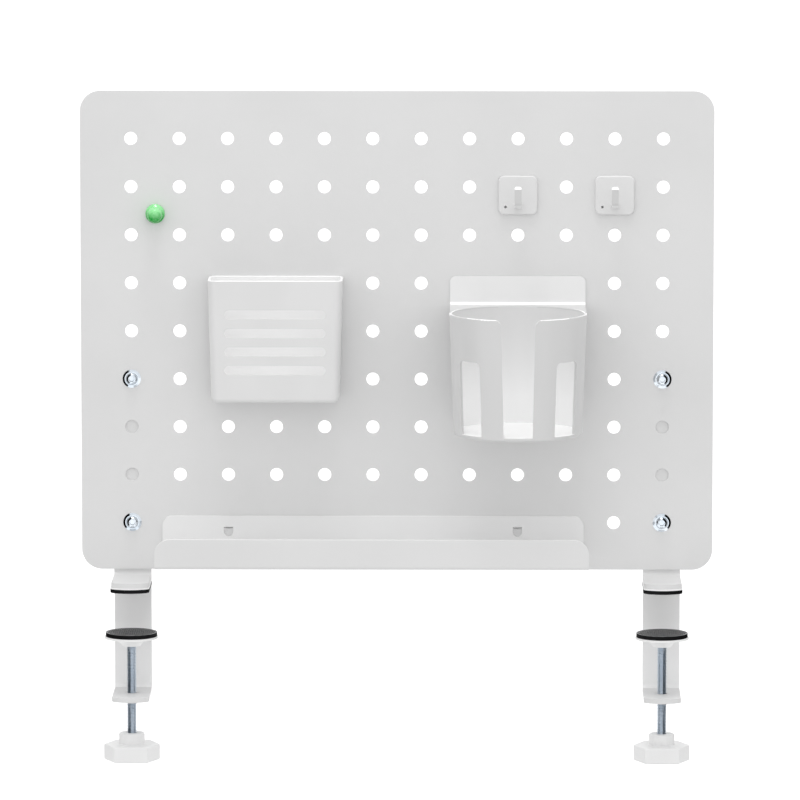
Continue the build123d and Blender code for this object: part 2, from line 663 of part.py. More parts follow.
# ---- Hooks ----
def hook(column):
    """A square plate with soft edges and a flat finger that comes forward and turns up."""
    x = column_x(column)
    middle = row_z(HOOK_ROW) - HOOK_PLATE_DROP
    face = HUNG_BACK - HOOK_PLATE_THICKNESS
    plate = extrude(
        front_plane(x, HUNG_BACK, middle) * RectangleRounded(HOOK_PLATE, HOOK_PLATE, HOOK_PLATE_ROUND),
        HOOK_PLATE_THICKNESS,
    )
    plate = fillet(plate.edges().group_by(Axis.Y)[0], HOOK_EDGE_ROUND)
    bottom = middle - HOOK_STRIP_DROP
    tip = bottom + HOOK_RISE
    front = face - HOOK_REACH
    points = [
        (face + HOOK_PLATE_THICKNESS / 2, bottom),
        (front, bottom),
        (front, tip),
        (front + HOOK_STRIP_THICKNESS, tip),
        (front + HOOK_STRIP_THICKNESS, bottom + HOOK_STRIP_THICKNESS),
        (face + HOOK_PLATE_THICKNESS / 2, bottom + HOOK_STRIP_THICKNESS),
    ]
    finger = side_profile(points, x, HOOK_STRIP_WIDTH)
    finger = fillet(edges_along_x(finger, front, bottom), HOOK_BEND_RADIUS + HOOK_STRIP_THICKNESS)
    crook = edges_along_x(finger, front + HOOK_STRIP_THICKNESS, bottom + HOOK_STRIP_THICKNESS)
    finger = fillet(crook, HOOK_BEND_RADIUS)
    tips = finger.edges().filter_by(Axis.Y).sort_by(Axis.Z)[-2:]
    finger = fillet(tips, HOOK_TIP_ROUND)
    nail = front_plane(x - HOOK_NAIL_SIDE, HUNG_BACK, middle - HOOK_NAIL_DROP)
    plate -= extrude(nail * Circle(HOOK_NAIL_RADIUS), HOOK_PLATE_THICKNESS)
    plate += finger
    root = (x, face, bottom + HOOK_STRIP_THICKNESS / 2)
    plate = fillet(plate.edges().sort_by_distance(root)[:4], HOOK_ROOT_RADIUS)
    return plate + hanging_tab(x, HOOK_ROW, HUNG_BACK - HOOK_PLATE_THICKNESS / 2, MOULDED_TAB)


# ---- Magnetic pin ----
def pin_plane(back):
    return front_plane(column_x(PIN_COLUMN), back, row_z(PIN_ROW))


def pin_body():
    """A turned pin: a flange against the board, a waist and a domed head."""
    head = PIN_LENGTH - PIN_HEAD_LENGTH
    flange = Polyline((0, 0), (PIN_RADIUS, 0), (PIN_RADIUS, PIN_FLANGE_EDGE))
    shoulder = ThreePointArc(
        (PIN_RADIUS, PIN_FLANGE_EDGE),
        (PIN_SHOULDER_RADIUS, PIN_FLANGE),
        (PIN_WAIST_RADIUS, PIN_WAIST_START),
    )
    waist = Line((PIN_WAIST_RADIUS, PIN_WAIST_START), (PIN_HEAD_RADIUS, head))
    side = Line((PIN_HEAD_RADIUS, head), (PIN_HEAD_RADIUS, PIN_LENGTH - PIN_HEAD_RADIUS))
    dome = RadiusArc(side @ 1, (0, PIN_LENGTH), -PIN_HEAD_RADIUS)
    outline = make_face(flange + shoulder + waist + side + dome + Line((0, PIN_LENGTH), (0, 0)))
    body = revolve(Plane.XZ * outline, Axis.Z)
    body -= extrude(Circle(MAGNET_RADIUS + MAGNET_CLEARANCE), MAGNET_LENGTH)
    return pin_plane(HUNG_BACK) * body


def pin_magnet():
    return pin_plane(HUNG_BACK) * extrude(Circle(MAGNET_RADIUS), MAGNET_LENGTH)


# ---- The whole object ----
def clamp_side(side, x):
    """Every piece of one clamp, on the column of holes that its bolts go through."""
    return {
        f"{side}_jaw_bracket": jaw_bracket(x),
        f"{side}_clamp_arm": clamp_arm(x),
        f"{side}_jaw_liner": jaw_liner(x),
        f"{side}_jaw_rubber": jaw_rubber(x),
        f"{side}_board_bolts": Compound([board_bolt(x, z) for z in bolt_rows()]),
        f"{side}_washers": Compound([washer(x, z) for z in bolt_rows()]),
        f"{side}_flange_nuts": Compound([flange_nut(x, z) for z in bolt_rows()]),
        f"{side}_weld_nut": weld_nut(x),
        f"{side}_pad_rubber": pad_rubber(x),
        f"{side}_pad_cup": pad_cup(x),
        f"{side}_clamp_screw": clamp_screw(x),
        f"{side}_knob": knob(x),
    }


pieces = {
    "peg_panel": peg_panel(),
    **clamp_side("left", column_x(1)),
    **clamp_side("right", column_x(HOLE_COLUMNS)),
    "pen_box": pen_box(),
    "cup_holder": cup_holder(),
    "tray": tray(),
    "left_hook": hook(LEFT_HOOK_COLUMN),
    "right_hook": hook(RIGHT_HOOK_COLUMN),
    "pin_body": pin_body(),
    "pin_magnet": pin_magnet(),
}
for name, shape in pieces.items():
    export_step(shape, f"parts/{name}.step")
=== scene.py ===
# %% [markdown]
# # A pegboard desk organizer
# The object is a perforated steel board that stands at the back edge of a desk on two screw clamps.
# A pen box, a cup holder, a tray and two hooks hang in its peg holes, and a magnetic pin sits on it.
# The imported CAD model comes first. It is the fixed frame: every piece made here takes its place
# from it, so nothing has to be fitted by eye. Lengths are metres, +Z is up and -Y faces the viewer.

# %% Load the CAD frame
import json
from math import cos, pi, radians, sin

import bmesh
import bpy
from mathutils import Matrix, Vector

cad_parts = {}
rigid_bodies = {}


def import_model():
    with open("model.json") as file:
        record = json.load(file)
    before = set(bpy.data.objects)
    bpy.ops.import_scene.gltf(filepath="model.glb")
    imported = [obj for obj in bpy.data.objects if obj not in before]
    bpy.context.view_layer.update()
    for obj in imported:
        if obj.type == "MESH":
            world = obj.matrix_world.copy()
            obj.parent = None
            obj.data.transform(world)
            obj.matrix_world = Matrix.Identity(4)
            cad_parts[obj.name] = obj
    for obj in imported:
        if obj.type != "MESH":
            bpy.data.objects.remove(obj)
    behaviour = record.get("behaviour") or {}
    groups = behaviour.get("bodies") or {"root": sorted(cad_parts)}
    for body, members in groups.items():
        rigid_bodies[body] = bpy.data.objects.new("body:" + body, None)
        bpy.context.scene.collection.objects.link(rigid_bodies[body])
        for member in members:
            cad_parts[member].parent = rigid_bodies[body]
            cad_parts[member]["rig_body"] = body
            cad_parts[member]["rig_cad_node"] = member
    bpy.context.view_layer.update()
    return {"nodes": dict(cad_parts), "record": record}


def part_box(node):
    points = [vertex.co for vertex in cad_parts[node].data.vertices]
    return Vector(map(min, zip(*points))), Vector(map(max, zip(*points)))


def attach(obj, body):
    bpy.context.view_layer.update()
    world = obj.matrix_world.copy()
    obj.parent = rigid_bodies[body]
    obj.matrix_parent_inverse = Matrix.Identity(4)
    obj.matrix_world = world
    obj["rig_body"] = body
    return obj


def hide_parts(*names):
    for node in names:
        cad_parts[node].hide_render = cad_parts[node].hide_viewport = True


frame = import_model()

scene = bpy.context.scene
MM = 0.001
body_of = {}
for body, members in frame["record"]["behaviour"]["bodies"].items():
    for member in members:
        body_of[member] = body

# %% [markdown]
# ## The view
# The photograph is taken from far away and a little above, so upright lines stay parallel and the
# upper faces show as thin slivers. A long lens at six metres gives that. The camera is made first,
# because everything later is judged through it.

# %% Camera
VIEW_RISE = radians(6.6)
VIEW_TURN = radians(0.7)
VIEW_DISTANCE = 6.0
BOARD_MIDDLE = Vector((0.0, -0.0055, 0.212))
AIM = Vector((0.0025, -0.0055, 0.1545))
camera_data = bpy.data.cameras.new("photo_camera")
camera_data.sensor_width = 36.0
camera_data.lens = 325.9
camera_data.clip_end = 60.0
camera = bpy.data.objects.new("photo_camera", camera_data)
scene.collection.objects.link(camera)
back = Vector((sin(VIEW_TURN) * cos(VIEW_RISE), -cos(VIEW_TURN) * cos(VIEW_RISE), sin(VIEW_RISE)))
camera.location = BOARD_MIDDLE + back * VIEW_DISTANCE
camera.rotation_euler = (AIM - camera.location).to_track_quat("-Z", "Y").to_euler()
scene.camera = camera
print("camera at", [round(v, 3) for v in camera.location])

# %% [markdown]
# ## Light
# A white tent lights the board from above and from all round, and a darker floor sends less back.
# So rims, bends and other faces that look up come out nearly white, upright faces are a shade
# greyer, and the tray throws light up the board behind it. To the eye and in metal the tent shows
# pure white, whatever it gives as a light.

# %% Surround
SURROUND_LIGHT = 1.05


def seen_directly(tree):
    """Gives 1 to a ray from the camera, through glass or off a shiny face, and 0 to all others."""
    path = tree.nodes.new("ShaderNodeLightPath")
    total = path.outputs["Is Camera Ray"]
    for ray in ("Is Transmission Ray", "Is Glossy Ray"):
        both = tree.nodes.new("ShaderNodeMath")
        both.operation = "ADD"
        both.use_clamp = True
        tree.links.new(total, both.inputs[0])
        tree.links.new(path.outputs[ray], both.inputs[1])
        total = both.outputs[0]
    return total


world = bpy.data.worlds.new("studio")
scene.world = world
world.use_nodes = True
tree = world.node_tree
tree.nodes.clear()
level = tree.nodes.new("ShaderNodeMapRange")
level.inputs["To Min"].default_value = SURROUND_LIGHT
level.inputs["To Max"].default_value = 1.0
tree.links.new(seen_directly(tree), level.inputs["Value"])
surround = tree.nodes.new("ShaderNodeBackground")
surround.inputs["Color"].default_value = (1, 1, 1, 1)
tree.links.new(level.outputs[0], surround.inputs["Strength"])
output = tree.nodes.new("ShaderNodeOutputWorld")
tree.links.new(surround.outputs[0], output.inputs["Surface"])
scene.view_settings.view_transform = "Standard"
print("surround lights at", SURROUND_LIGHT)


# %% Lamps
def soft_lamp(name, place, size, power):
    """A square lamp that looks at the middle of the board."""
    lamp = bpy.data.lights.new(name, "AREA")
    lamp.size = size
    lamp.energy = power
    holder = bpy.data.objects.new(name, lamp)
    holder.location = place
    holder.rotation_euler = (BOARD_MIDDLE - Vector(place)).to_track_quat("-Z", "Y").to_euler()
    scene.collection.objects.link(holder)
    print("lamp", name, power, "W")
    return holder


LAMP_PLACE = (-0.1, -0.5, 3.0)
soft_lamp("top_lamp", LAMP_PLACE, 0.9, 20.0)

# %% [markdown]
# Polished zinc only shows what stands around it, and in an all-white room it would look like
# white plastic. Photographers stand cards beside the object for that. At both ends of the board a
# black card draws dark crescents on the bolts, and a low grey one draws bands along the screws.
# They are seen by reflections alone: they throw no shadow and stay out of every picture.

# %% Cards
def card(name, tone, place, size):
    """An upright card, square to the board, that only glossy rays can see."""
    paper = bpy.data.materials.new(name)
    paper.use_nodes = True
    shader = paper.node_tree.nodes["Principled BSDF"]
    shader.inputs["Base Color"].default_value = (tone, tone, tone, 1)
    shader.inputs["Roughness"].default_value = 1.0
    shader.inputs["Specular IOR Level"].default_value = 0.0
    bpy.ops.object.select_all(action="DESELECT")
    bpy.ops.mesh.primitive_plane_add(size=1.0, location=place, rotation=(radians(90), 0, radians(90)))
    sheet = bpy.context.object
    sheet.name = name
    sheet.scale = (size[0], size[1], 1)
    bpy.ops.object.transform_apply(location=True, rotation=True, scale=True)
    sheet.data.materials.append(paper)
    sheet.visible_camera = False
    sheet.visible_diffuse = False
    sheet.visible_transmission = False
    sheet.visible_shadow = False
    print(name, "at", place)


BLACK_TONE = 0.01
GREY_TONE = 0.1
for side, hand in (("left", -1), ("right", 1)):
    card(f"{side}_black_card", BLACK_TONE, (0.36 * hand, -0.1, 0.41), (0.34, 1.04))
    card(f"{side}_grey_card", GREY_TONE, (0.45 * hand, 0.45, -0.085), (1.5, 0.23))

# %% [markdown]
# ## Handling pieces
# Blender's tools act on whatever is selected, so each step below first clears the selection and
# then picks vertices, edges or faces by where they are or which way they face. A finished piece
# keeps its place in its mesh and its object stays at the origin, as the CAD nodes do.


# %% Helpers for selecting
def clear_selection():
    if bpy.context.mode != "OBJECT":
        bpy.ops.object.mode_set(mode="OBJECT")
    bpy.ops.object.select_all(action="DESELECT")


def only(piece):
    """Makes this piece the only one that the next tool acts on."""
    clear_selection()
    piece.select_set(True)
    bpy.context.view_layer.objects.active = piece


def open_piece(piece):
    only(piece)
    bpy.ops.object.mode_set(mode="EDIT")


def choose(kind, test):
    """Selects the vertices, edges or faces of the open piece whose middle passes a test."""
    bpy.ops.mesh.select_mode(type=kind)
    bpy.ops.mesh.select_all(action="DESELECT")
    mesh = bmesh.from_edit_mesh(bpy.context.object.data)
    count = 0
    if kind == "VERT":
        for vertex in mesh.verts:
            if test(vertex.co):
                vertex.select_set(True)
                count += 1
    elif kind == "EDGE":
        for edge in mesh.edges:
            if test((edge.verts[0].co + edge.verts[1].co) / 2):
                edge.select_set(True)
                count += 1
    else:
        for face in mesh.faces:
            if test(face.calc_center_median(), face.normal):
                face.select_set(True)
                count += 1
    bmesh.update_edit_mesh(bpy.context.object.data)
    return count


def close_piece():
    """Turns all faces outwards and leaves edit mode."""
    bpy.ops.mesh.select_all(action="SELECT")
    bpy.ops.mesh.normals_make_consistent(inside=False)
    bpy.ops.object.mode_set(mode="OBJECT")


def settle(piece):
    """Moves the piece's place from its object into its mesh."""
    only(piece)
    bpy.ops.object.transform_apply(location=True, rotation=True, scale=True)


def shade(piece, angle):
    """Shades flat faces flat and rounds round, whatever the bevels beside them do."""
    open_piece(piece)
    bpy.ops.mesh.customdata_custom_splitnormals_clear()
    close_piece()
    bpy.ops.object.shade_smooth_by_angle(angle=radians(angle))
    even = piece.modifiers.new("even_shading", "WEIGHTED_NORMAL")
    even.keep_sharp = True
    bpy.ops.object.modifier_apply(modifier=even.name)


def roll_edges(piece, width, steps, angle):
    """Rolls every edge sharper than the angle over to a small round."""
    only(piece)
    roll = piece.modifiers.new("rolled_edges", "BEVEL")
    roll.width = width
    roll.segments = steps
    roll.limit_method = "ANGLE"
    roll.angle_limit = radians(angle)
    bpy.ops.object.modifier_apply(modifier=roll.name)
    shade(piece, 40)


def stand_for(piece, node, finish):
    """The piece takes a CAD node's place, moves with its body and gets its finish."""
    piece.data.materials.clear()
    piece.data.materials.append(finish)
    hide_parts(node)
    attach(piece, body_of[node])
    triangles = sum(len(face.vertices) - 2 for face in piece.data.polygons)
    print(piece.name, "stands for", node, "with", triangles, "triangles")


def second_finish(piece, finish, test):
    """Gives the faces whose middle and normal pass the test another finish."""
    piece.data.materials.append(finish)
    index = len(piece.data.materials) - 1
    count = 0
    for face in piece.data.polygons:
        if test(face.center, face.normal):
            face.material_index = index
            count += 1
    print(piece.name, "has", count, "faces in", finish.name)


# %% [markdown]
# ## Finishes
# Each finish is built from nodes. Object coordinates give every pattern its real size, so the
# grain of the powder coat is a fraction of a millimetre on every piece that wears it.


# %% Helpers for finishes
def new_finish(name, roughness, metallic=0.0):
    finish = bpy.data.materials.new(name)
    finish.use_nodes = True
    shader = finish.node_tree.nodes["Principled BSDF"]
    shader.inputs["Roughness"].default_value = roughness
    shader.inputs["Metallic"].default_value = metallic
    return finish, finish.node_tree, shader


def grain(tree, scale, detail, stretch=(1, 1, 1)):
    """A noise on Object coordinates with a number of grains for each metre."""
    place = tree.nodes.new("ShaderNodeTexCoord")
    shape = tree.nodes.new("ShaderNodeMapping")
    shape.inputs["Scale"].default_value = stretch
    noise = tree.nodes.new("ShaderNodeTexNoise")
    noise.inputs["Scale"].default_value = scale
    noise.inputs["Detail"].default_value = detail
    tree.links.new(place.outputs["Object"], shape.inputs["Vector"])
    tree.links.new(shape.outputs["Vector"], noise.inputs["Vector"])
    return noise.outputs["Fac"]


def height_share(tree, start, end):
    """Runs from 0 at one height to 1 at another."""
    place = tree.nodes.new("ShaderNodeTexCoord")
    split = tree.nodes.new("ShaderNodeSeparateXYZ")
    share = tree.nodes.new("ShaderNodeMapRange")
    share.inputs["From Min"].default_value = start
    share.inputs["From Max"].default_value = end
    tree.links.new(place.outputs["Object"], split.inputs["Vector"])
    tree.links.new(split.outputs["Z"], share.inputs["Value"])
    return share.outputs["Result"]


def tint(tree, shader, source, low, high, start=0.35, end=0.65):
    """Lets the source, mostly a noise, shift the colour between two tones."""
    ramp = tree.nodes.new("ShaderNodeValToRGB")
    ramp.color_ramp.elements[0].position = start
    ramp.color_ramp.elements[0].color = (*low, 1)
    ramp.color_ramp.elements[1].position = end
    ramp.color_ramp.elements[1].color = (*high, 1)
    tree.links.new(source, ramp.inputs["Fac"])
    tree.links.new(ramp.outputs["Color"], shader.inputs["Base Color"])


def vary(tree, source, socket, low, high):
    """Lets the noise shift a value, such as the roughness, between two limits."""
    spread = tree.nodes.new("ShaderNodeMapRange")
    spread.inputs["From Min"].default_value = 0.3
    spread.inputs["From Max"].default_value = 0.7
    spread.inputs["To Min"].default_value = low
    spread.inputs["To Max"].default_value = high
    tree.links.new(source, spread.inputs["Value"])
    tree.links.new(spread.outputs["Result"], socket)


def relief(tree, shader, source, strength, depth):
    bump = tree.nodes.new("ShaderNodeBump")
    bump.inputs["Strength"].default_value = strength
    bump.inputs["Distance"].default_value = depth
    tree.links.new(source, bump.inputs["Height"])
    tree.links.new(bump.outputs["Normal"], shader.inputs["Normal"])


# %% [markdown]
# ### Powder coat
# The board, the tray and the clamp strips are sprayed with powder and baked. Such a skin is satin,
# with a pebble that shows only close up, so a fine noise moves its roughness and lifts a slight
# relief, and a slow one keeps the tone from being dead even. A whiter copy of the coat on the
# tray's upward edges is a painted highlight.

# %% Powder coat
def powder_coat(name, low, high, pebble):
    """Baked powder on steel: a satin skin with the faint pebble of an orange's peel."""
    finish, tree, shader = new_finish(name, 0.45)
    cloud = grain(tree, 9, 3)
    peel = grain(tree, 1300, 2)
    tint(tree, shader, cloud, low, high)
    vary(tree, peel, shader.inputs["Roughness"], 0.4, 0.52)
    relief(tree, shader, peel, pebble, 0.0002)
    print("finish", name)
    return finish


board_coat = powder_coat("board_coat", (0.72, 0.72, 0.72), (0.745, 0.745, 0.745), 0.16)
# The tray's coat is a whiter copy of the board's: painted light that lifts the shade inside the tray.
tray_coat_painted_light = powder_coat("tray_coat_painted_light", (0.82, 0.82, 0.82), (0.85, 0.85, 0.85), 0.16)
jaw_coat = powder_coat("jaw_coat", (0.70, 0.70, 0.70), (0.74, 0.74, 0.74), 0.3)
# A whiter copy of the jaw coat for the arms' uprights: painted light that lifts the shade under the jaws.
arm_coat_painted_light = powder_coat("arm_coat_painted_light", (0.885, 0.885, 0.885), (0.915, 0.915, 0.915), 0.3)
# A whiter coat for the tray's upward edges: a painted highlight.
tray_edge_painted_highlight = powder_coat("tray_edge_painted_highlight", (0.92, 0.92, 0.92), (0.95, 0.95, 0.95), 0.1)

# %% [markdown]
# ### Moulded plastics
# The pen box, the cup holder, the hooks, the knobs and the liners are injection moulded. Their skin
# copies the mould: smoother than the coat, with a flow that runs down the piece and a grain so fine
# that it only softens the gloss. The tones differ a little from piece to piece, and the darker cup
# and finger tones are painted shade.


# %% Moulded plastics
def moulded_plastic(name, low, high, roughness):
    """Injection-moulded plastic: smooth, with a faint flow pattern and a fine spark-eroded grain."""
    finish, tree, shader = new_finish(name, roughness)
    flow = grain(tree, 26, 2, (1, 1, 0.4))
    spark = grain(tree, 3200, 2)
    tint(tree, shader, flow, low, high)
    vary(tree, flow, shader.inputs["Roughness"], roughness - 0.05, roughness + 0.06)
    relief(tree, shader, spark, 0.06, 0.0001)
    print("finish", name)
    return finish


white_plastic = moulded_plastic("white_plastic", (0.735, 0.735, 0.735), (0.76, 0.76, 0.76), 0.36)
# A darker copy of the white plastic for the cup's tapered outer wall: painted shade.
cup_wall_painted_shade = moulded_plastic("cup_wall_painted_shade", (0.65, 0.65, 0.65), (0.675, 0.675, 0.675), 0.38)
# A darker copy of the white plastic for the front of the hooks' fingers: painted shade.
finger_front_painted_shade = moulded_plastic("finger_front_painted_shade", (0.59, 0.59, 0.59), (0.62, 0.62, 0.62), 0.4)
knob_plastic = moulded_plastic("knob_plastic", (0.83, 0.83, 0.83), (0.86, 0.86, 0.86), 0.38)
# The liners' plastic, which also paints the highlight on the hooks' caps.
liner_plastic = moulded_plastic("liner_plastic", (0.88, 0.88, 0.88), (0.91, 0.91, 0.91), 0.35)

# %% [markdown]
# ### Painted light inside the plastic
# The inside of the box and of the cup is smooth from the polished core of the mould, and it is painted
# whiter than the outside, whitest towards the foot and greyer under the rim: painted light for what
# falls in from above and through the thin wall. The foot and the rims also get a very small glow, a
# painted light that stands for translucency, because true translucency would be slow to render and is
# lost in an export.

# %% Painted light inside
SHADE_ABOVE = 0.25
WHITE_BELOW = 0.16
RIM_HIGHLIGHT_GLOW = 0.1


def painted_inner_light(name, low, high, glow_above, glow_below):
    """Smooth plastic, painted whiter and given a small glow towards the foot: painted light."""
    finish, tree, shader = new_finish(name, 0.28)
    # Painted shade under the rim, painted light and glow towards the foot.
    depth = height_share(tree, SHADE_ABOVE, WHITE_BELOW)
    tint(tree, shader, depth, (low, low, low), (high, high, high), 0.0, 1.0)
    shine = tree.nodes.new("ShaderNodeMapRange")
    shine.inputs["To Min"].default_value = glow_above
    shine.inputs["To Max"].default_value = glow_below
    tree.links.new(depth, shine.inputs["Value"])
    shader.inputs["Emission Color"].default_value = (1, 1, 1, 1)
    tree.links.new(shine.outputs["Result"], shader.inputs["Emission Strength"])
    relief(tree, shader, grain(tree, 3200, 2), 0.04, 0.0001)
    print("finish", name)
    return finish


box_inside_painted_light = painted_inner_light("box_inside_painted_light", 0.90, 0.95, 0.055, 0.08)
cup_inside_painted_light = painted_inner_light("cup_inside_painted_light", 0.66, 0.94, 0.01, 0.035)
# Rims and the cup's web are whiter and glow a little: a painted highlight where they look up to the
# light.
rim_painted_highlight = moulded_plastic("rim_painted_highlight", (0.93, 0.93, 0.93), (0.95, 0.95, 0.95), 0.3)
shader = rim_painted_highlight.node_tree.nodes["Principled BSDF"]
shader.inputs["Emission Color"].default_value = (1, 1, 1, 1)
shader.inputs["Emission Strength"].default_value = RIM_HIGHLIGHT_GLOW

# %% [markdown]
# ### Rubber
# The layers on the jaws and the sides of the pads are black and dull, and the pads' upward faces are
# grey. Rubber shines very little, so the specular level goes down instead of the tone alone.

# %% Rubber
rubber, tree, shader = new_finish("black_rubber", 0.62)
dust = grain(tree, 340, 4)
skin = grain(tree, 2600, 3)
tint(tree, shader, dust, (0.003, 0.003, 0.0035), (0.008, 0.008, 0.009))
shader.inputs["Specular IOR Level"].default_value = 0.1
vary(tree, dust, shader.inputs["Roughness"], 0.52, 0.72)
relief(tree, shader, skin, 0.3, 0.0001)
pad_rubber, tree, shader = new_finish("pad_rubber", 0.7)
dust = grain(tree, 420, 4)
skin = grain(tree, 2600, 3)
tint(tree, shader, dust, (0.26, 0.262, 0.266), (0.38, 0.382, 0.386))
shader.inputs["Specular IOR Level"].default_value = 0.3
vary(tree, dust, shader.inputs["Roughness"], 0.6, 0.78)
relief(tree, shader, skin, 0.3, 0.0001)
print("finish black_rubber and pad_rubber")

# %% [markdown]
# ### Zinc
# Screws, bolts, washers and nuts are zinc plated: a bluish metal with a cloudy bath pattern and
# fine scratches. The walls of the bolts' sockets and the downward flanks of the thread get darker
# versions of the same metal: painted shade in the sockets and under each turn of the thread.

# %% Zinc
zinc, tree, shader = new_finish("zinc", 0.22, 1.0)
bath = grain(tree, 70, 3)
scratch = grain(tree, 1800, 2, (1, 1, 0.15))
tint(tree, shader, bath, (0.64, 0.71, 0.78), (0.76, 0.81, 0.86))
vary(tree, bath, shader.inputs["Roughness"], 0.1, 0.2)
relief(tree, shader, scratch, 0.08, 0.0001)
print("finish zinc")

# %% Shaded zinc
socket_painted_shade, tree, shader = new_finish("socket_painted_shade", 0.4, 1.0)
socket_mottle = grain(tree, 1500, 3)
tint(tree, shader, socket_mottle, (0.03, 0.032, 0.036), (0.12, 0.126, 0.135))
vary(tree, socket_mottle, shader.inputs["Roughness"], 0.35, 0.5)
thread_underside_painted_shade, tree, shader = new_finish("thread_underside_painted_shade", 0.3, 1.0)
thread_mottle = grain(tree, 900, 2)
tint(tree, shader, thread_mottle, (0.33, 0.39, 0.46), (0.46, 0.52, 0.59))
vary(tree, thread_mottle, shader.inputs["Roughness"], 0.25, 0.38)
print("finish socket_painted_shade and thread_underside_painted_shade")

# %% [markdown]
# ### Green acrylic
# The pin is tinted acrylic, deep green low down and painted paler towards the top as painted light
# where it catches the lamp, so its height sets the colour, a cloud breaks the blend, and a clear coat
# gives the highlight.

# %% Green acrylic
green_acrylic, tree, shader = new_finish("green_acrylic", 0.06)
shader.inputs["IOR"].default_value = 1.49
shader.inputs["Transmission Weight"].default_value = 0.12
shader.inputs["Coat Weight"].default_value = 0.4
shader.inputs["Specular IOR Level"].default_value = 0.3
shader.inputs["Coat Roughness"].default_value = 0.04
low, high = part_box("pin_body")
# Height share for the painted light that pales the top of the pin.
rise = height_share(tree, low.z, high.z)
cloud = grain(tree, 500, 3)
blend = tree.nodes.new("ShaderNodeMath")
blend.operation = "MULTIPLY_ADD"
blend.inputs[1].default_value = 0.5
tree.links.new(cloud, blend.inputs[0])
tree.links.new(rise, blend.inputs[2])
tint(tree, shader, blend.outputs["Value"], (0.01, 0.41, 0.045), (0.36, 0.91, 0.4), 0.5, 1.0)
print("finish green_acrylic")

# %% [markdown]
# ## The floor
# The object is shown alone, so the floor is a plain pale sheet some way below it. A glow that only
# the eye and shiny faces see lifts it to white, and it still takes the object's shadow.

# %% Floor
FLOOR_TONE = 0.68
FLOOR_GLOW = 0.5
FLOOR_HEIGHT = -0.21
floor_paint, tree, shader = new_finish("floor_paint", 0.9)
shader.inputs["Base Color"].default_value = (FLOOR_TONE, FLOOR_TONE, FLOOR_TONE, 1)
shader.inputs["Emission Color"].default_value = (1, 1, 1, 1)
share = tree.nodes.new("ShaderNodeMath")
share.operation = "MULTIPLY"
share.inputs[1].default_value = FLOOR_GLOW
tree.links.new(seen_directly(tree), share.inputs[0])
tree.links.new(share.outputs[0], shader.inputs["Emission Strength"])
clear_selection()
bpy.ops.mesh.primitive_plane_add(size=40.0, location=(0, 0, FLOOR_HEIGHT))
floor = bpy.context.object
floor.name = "studio_floor"
settle(floor)
floor.data.materials.append(floor_paint)
print("floor at", round(floor.data.vertices[0].co.z, 3))

# %% [markdown]
# ## The board
# The real board is one sheet, punched and then powder coated. The punch and the coat leave every
# hole with a small round edge, and that round edge is what draws the bright and dark arcs in each
# hole. One tile of the sheet with one hole is made, repeated 12 by 9, and the margins are pulled
# out from the edge of the field. A boolean cut would give the same holes with untidy faces.

# %% One tile with one hole
HOLE_PITCH = 40 * MM
HOLE_RADIUS = 5.4 * MM
COLUMNS = 12
ROWS = 9
ARC_POINTS = 48
low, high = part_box("peg_panel")
BOARD_FRONT = low.y
BOARD_STEEL = high.y - low.y
left_column = -(COLUMNS - 1) / 2 * HOLE_PITCH
bottom_row = (low.z + high.z) / 2 - (ROWS - 1) / 2 * HOLE_PITCH
clear_selection()
upright = (radians(90), 0, 0)
first_hole = (left_column, BOARD_FRONT, bottom_row)
bpy.ops.mesh.primitive_plane_add(size=HOLE_PITCH, location=first_hole, rotation=upright)
board = bpy.context.object
board.name = "board_sheet"
bpy.ops.object.mode_set(mode="EDIT")
bpy.ops.mesh.delete(type="ONLY_FACE")
bpy.ops.mesh.select_all(action="SELECT")
bpy.ops.mesh.subdivide(number_cuts=ARC_POINTS // 4 - 1)
bpy.ops.mesh.primitive_circle_add(
    vertices=ARC_POINTS, radius=HOLE_RADIUS, location=first_hole, rotation=upright
)
bpy.ops.mesh.select_mode(type="EDGE")
bpy.ops.mesh.select_all(action="SELECT")
bpy.ops.mesh.bridge_edge_loops()
bpy.ops.object.mode_set(mode="OBJECT")
settle(board)
print("tile faces", len(board.data.polygons))

# %% The field of holes and its margins
only(board)
for axis, count in ((0, COLUMNS), (2, ROWS)):
    step = [0, 0, 0]
    step[axis] = HOLE_PITCH
    field = board.modifiers.new("field", "ARRAY")
    field.count = count
    field.use_relative_offset = False
    field.use_constant_offset = True
    field.constant_offset_displace = step
    field.use_merge_vertices = True
    field.merge_threshold = 0.00001
    bpy.ops.object.modifier_apply(modifier=field.name)
open_piece(board)
TOUCH = 0.00002
for axis in (0, 2):
    for side, limit in ((-1, low[axis]), (1, high[axis])):
        rim = [side * vertex.co[axis] for vertex in bmesh.from_edit_mesh(board.data).verts]
        edge_place = side * max(rim)
        choose("EDGE", lambda middle: abs(middle[axis] - edge_place) < TOUCH)
        pull = [0, 0, 0]
        pull[axis] = limit - edge_place
        bpy.ops.mesh.extrude_region_move(TRANSFORM_OT_translate={"value": pull})
print("field faces", len(bmesh.from_edit_mesh(board.data).faces))

# %% Soft corners, thickness and rolled edges
CORNER_RADIUS = 17 * MM
corners = choose(
    "VERT",
    lambda co: min(co.x - low.x, high.x - co.x) < TOUCH and min(co.z - low.z, high.z - co.z) < TOUCH,
)
bpy.ops.mesh.bevel(offset=CORNER_RADIUS, segments=12, affect="VERTICES", offset_type="OFFSET")
bpy.ops.mesh.select_all(action="SELECT")
bpy.ops.mesh.extrude_region_move(TRANSFORM_OT_translate={"value": (0, BOARD_STEEL, 0)})
close_piece()
roll_edges(board, 0.32 * MM, 3, 60)
stand_for(board, "peg_panel", board_coat)
print("corners", corners, "size", [round(v * 1000, 1) for v in board.dimensions])

